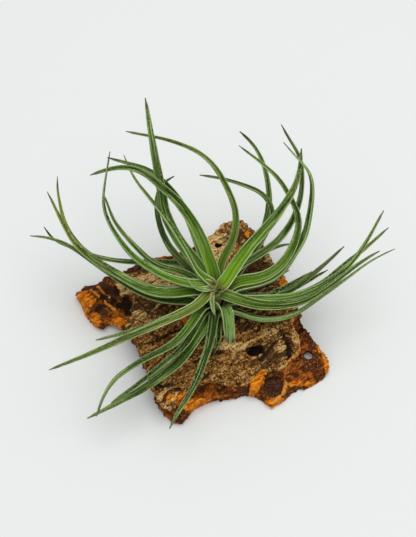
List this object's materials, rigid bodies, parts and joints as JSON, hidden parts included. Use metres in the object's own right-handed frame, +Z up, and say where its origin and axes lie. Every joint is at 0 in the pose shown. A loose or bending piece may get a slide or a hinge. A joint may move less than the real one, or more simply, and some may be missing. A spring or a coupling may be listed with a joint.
{
  "type": "air plant",
  "caption": "Aeranthos air plant: a rosette of narrow, channelled, pointed leaves on a hidden stem, resting on an arched piece of cork bark with broken edges",
  "frame": {"origin": "middle of the base of the whole object's box, on the surface that the bark rests on", "axes": "+Z up; +X along the longest extent, to the right in the picture; +Y away from the viewer of the picture"},
  "size_m": [0.2012, 0.1538, 0.1246],
  "materials": {
    "leaf": "grey-green leaf with a fine silvery scurf and pale margins",
    "young_leaf": "brighter yellow-green young leaf with a fine silvery scurf",
    "stem": "matt greenish brown",
    "cork": "rough granular cork, brown outside and orange-brown where broken"
  },
  "bodies": {
    "root": {"cork_bark": "cork", "stem": "stem", "leaf_01": "leaf", "leaf_02": "leaf", "leaf_03": "leaf", "leaf_04": "leaf", "leaf_05": "leaf", "leaf_06": "leaf", "leaf_07": "leaf", "leaf_08": "leaf", "leaf_09": "leaf", "leaf_10": "leaf", "leaf_11": "leaf", "leaf_12": "leaf", "leaf_13": "leaf", "leaf_14": "leaf", "leaf_15": "leaf", "leaf_16": "leaf", "leaf_17": "leaf", "leaf_18": "leaf", "leaf_19": "leaf", "leaf_20": "leaf", "leaf_21": "leaf", "leaf_22": "leaf", "leaf_23": "leaf", "leaf_24": "leaf", "leaf_25": "leaf", "leaf_26": "leaf", "leaf_27": "leaf", "leaf_28": "young_leaf", "leaf_29": "leaf", "leaf_30": "leaf", "leaf_31": "young_leaf", "leaf_32": "young_leaf", "leaf_33": "young_leaf", "leaf_34": "young_leaf", "leaf_35": "young_leaf", "leaf_36": "young_leaf", "leaf_37": "young_leaf", "leaf_38": "young_leaf", "leaf_39": "young_leaf", "leaf_40": "young_leaf"}
  },
  "joints": []
}
